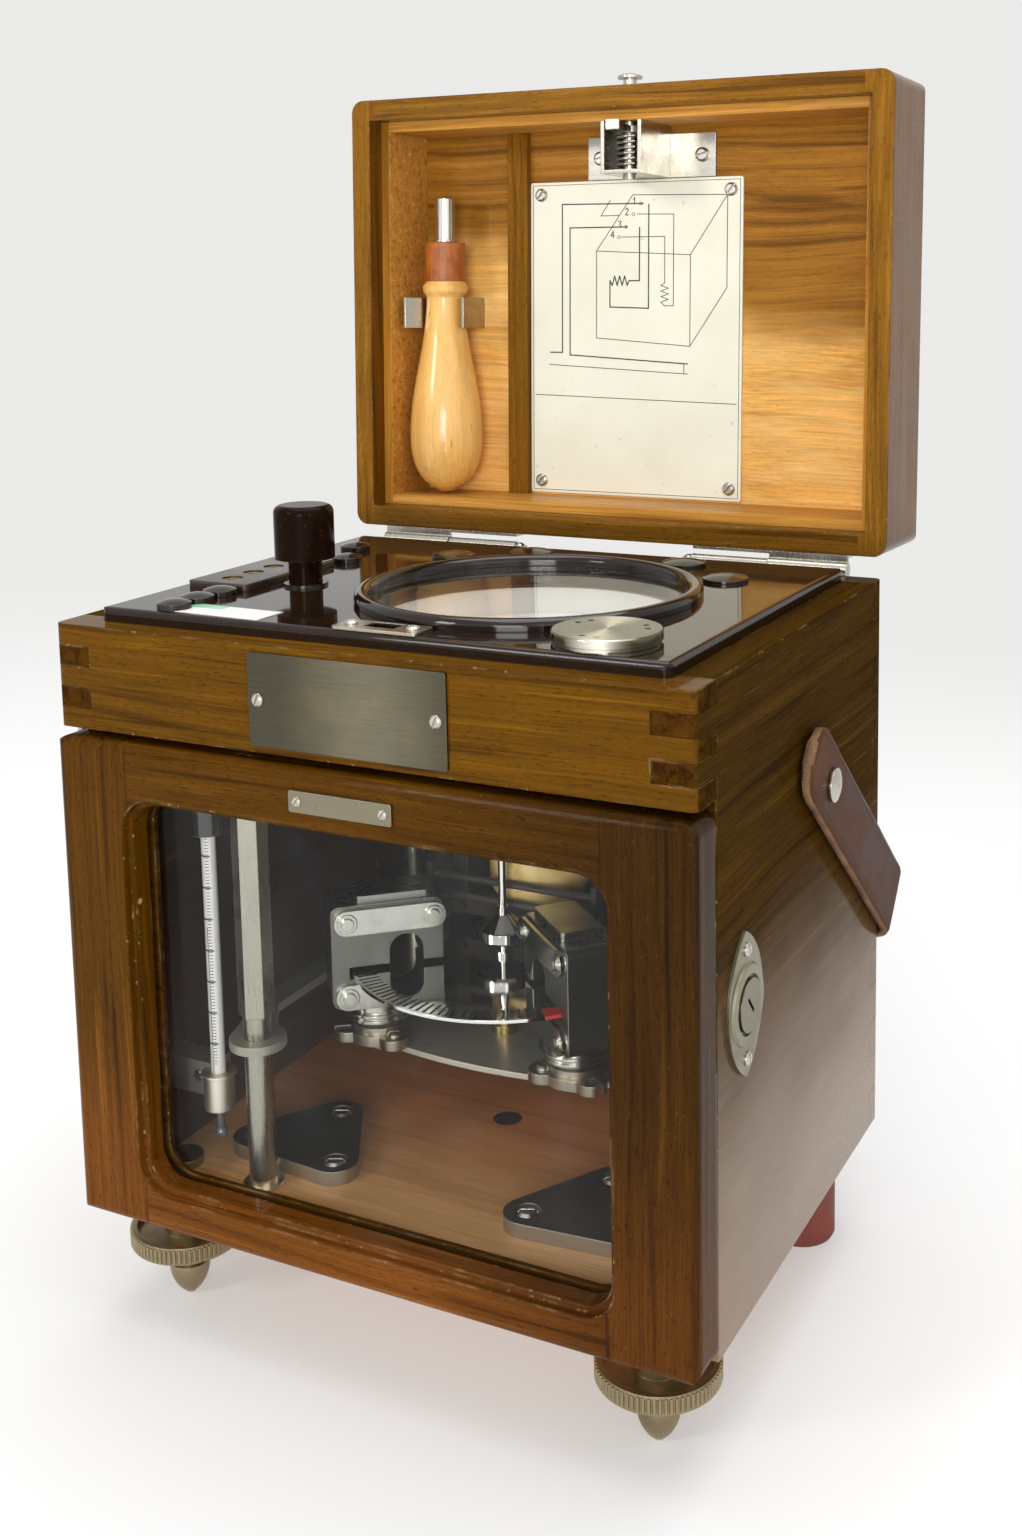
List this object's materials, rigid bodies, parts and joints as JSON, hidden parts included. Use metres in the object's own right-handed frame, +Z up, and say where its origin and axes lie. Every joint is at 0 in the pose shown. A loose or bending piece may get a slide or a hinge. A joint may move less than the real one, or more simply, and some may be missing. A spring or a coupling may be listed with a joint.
{
  "type": "rotating substandard meter",
  "caption": "Portable reference meter in a polished wooden case: glazed hinged door, open hinged lid, instrument panel with a round dial, brake disc movement, levelling feet and carrying strap.",
  "frame": {"origin": "on the table, below the middle of the whole part", "axes": "+X to the right seen from the front, +Y from the front to the back, +Z up"},
  "size_m": [0.2402, 0.2304, 0.4248],
  "materials": {
    "side_wood": "old varnish, satin",
    "rail_wood": "old varnish, glossy",
    "door_wood": "old varnish, glossy",
    "lid_wood": "old varnish, satin",
    "light_wood": "oiled",
    "handle_wood": "waxed",
    "bakelite": "polished",
    "black_ring": "polished",
    "glass": "clear",
    "dial_white": "matt enamel",
    "aluminium": "polished",
    "brass": "turned",
    "nickel": "dull nickel plate",
    "steel": "brushed",
    "grey_casting": "grey enamel",
    "ground_steel": "ground",
    "cream_enamel": "cream enamel",
    "core_iron": "oiled",
    "coil_tape": "varnished cloth tape",
    "milk_glass": "glazed",
    "red_rubber": "aged",
    "foot_brass": "dull nickel over brass",
    "card": "aged card",
    "fibre": "polished fibre",
    "black_enamel": "satin",
    "leather": "worn, oiled"
  },
  "bodies": {
    "case": {"side_left": "side_wood", "side_right": "side_wood", "back_board": "side_wood", "floor_board": "light_wood", "front_rail": "rail_wood", "instrument_panel": "bakelite", "dial_ring": "black_ring", "dial_glass": "glass", "dial_plate": "dial_white", "register_housing": "aluminium", "terminal_block": "bakelite", "terminal_sleeves": "brass", "round_caps": "bakelite", "cover_disc": "steel", "catch_plate": "steel", "notice_plate": "steel", "case_screws": "steel", "strap_studs": "nickel", "lock_case": "steel", "pillars": "nickel", "frame_plate": "grey_casting", "frame_back": "grey_casting", "bracket_arm": "steel", "magnet_left": "nickel", "magnet_right": "nickel", "magnet_bases": "cream_enamel", "shunt_core": "core_iron", "shunt_coil": "coil_tape", "series_magnet": "core_iron", "rotor_bearings": "brass", "thermometer": "milk_glass", "thermometer_clip": "nickel", "floor_plates": "ground_steel", "rear_feet": "red_rubber", "foot_bushes": "foot_brass", "case_hinge_leaves": "nickel"},
    "door": {"door_frame": "door_wood", "door_glass": "glass", "door_bead": "door_wood", "number_plate": "steel", "door_hinge_leaves": "nickel"},
    "lock": {"lock_barrel": "steel"},
    "lid": {"lid_shell": "lid_wood", "lid_lining": "light_wood", "lid_divider": "light_wood", "diagram_plate": "card", "lid_screws": "steel", "tool_clip": "nickel", "latch_base": "nickel", "lid_hinge_leaves": "nickel", "latch_spring": "steel"},
    "latch": {"latch_button": "nickel"},
    "tool": {"tool_handle": "handle_wood", "tool_shank": "fibre"},
    "knob": {"lock_knob": "bakelite"},
    "rotor": {"rotor": "aluminium"},
    "pointer": {"dial_pointer": "black_enamel"},
    "strap": {"carry_strap": "leather"},
    "foot_left": {"level_foot_left": "foot_brass"},
    "foot_right": {"level_foot_right": "foot_brass"}
  },
  "joints": [
    {"name": "door_hinge", "type": "hinge", "parent": "case", "child": "door", "pos_m": [-0.1146, -0.09812, 0.13925], "axis": [0, 0, -1], "range_deg": [0, 110]},
    {"name": "lock_turn", "type": "hinge", "parent": "case", "child": "lock", "pos_m": [0.1125, -0.07757, 0.139], "axis": [1, 0, 0], "range_deg": [0, 90]},
    {"name": "lid_hinge", "type": "hinge", "parent": "case", "child": "lid", "pos_m": [0, 0.06663, 0.2415], "axis": [1, 0, 0], "range_deg": [0, 92]},
    {"name": "latch_press", "type": "slide", "parent": "lid", "child": "latch", "axis": [0, -0.0349, -0.9994], "range_m": [0, 0.003], "stiffness_N_per_m": 300, "springref_m": -0.004, "deforming": ["latch_spring"]},
    {"name": "tool_spin", "type": "hinge", "parent": "lid", "child": "tool", "pos_m": [-0.083, 0.09192, 0.31816], "axis": [0, 0.0349, 0.9994], "continuous": true},
    {"name": "knob_press", "type": "slide", "parent": "case", "child": "knob", "axis": [0, 0, -1], "range_m": [0, 0.008]},
    {"name": "rotor_spin", "type": "hinge", "parent": "case", "child": "rotor", "pos_m": [-0.002, -0.01487, 0.138], "axis": [0, 0, 1], "continuous": true},
    {"name": "pointer_turn", "type": "hinge", "parent": "case", "child": "pointer", "pos_m": [0.02, -0.03187, 0.218], "axis": [0, 0, 1], "continuous": true},
    {"name": "strap_swing", "type": "hinge", "parent": "case", "child": "strap", "pos_m": [0, -0.00987, 0.186], "axis": [1, 0, 0], "range_deg": [0, 60]},
    {"name": "foot_left_turn", "type": "hinge", "parent": "case", "child": "foot_left", "pos_m": [-0.089, -0.08787, 0.028], "axis": [0, 0, 1], "continuous": true},
    {"name": "foot_right_turn", "type": "hinge", "parent": "case", "child": "foot_right", "pos_m": [0.089, -0.08787, 0.028], "axis": [0, 0, 1], "continuous": true}
  ],
  "couplings": [
    {"joint": "pointer_turn", "follows": "rotor_spin", "ratio": -0.1}
  ]
}
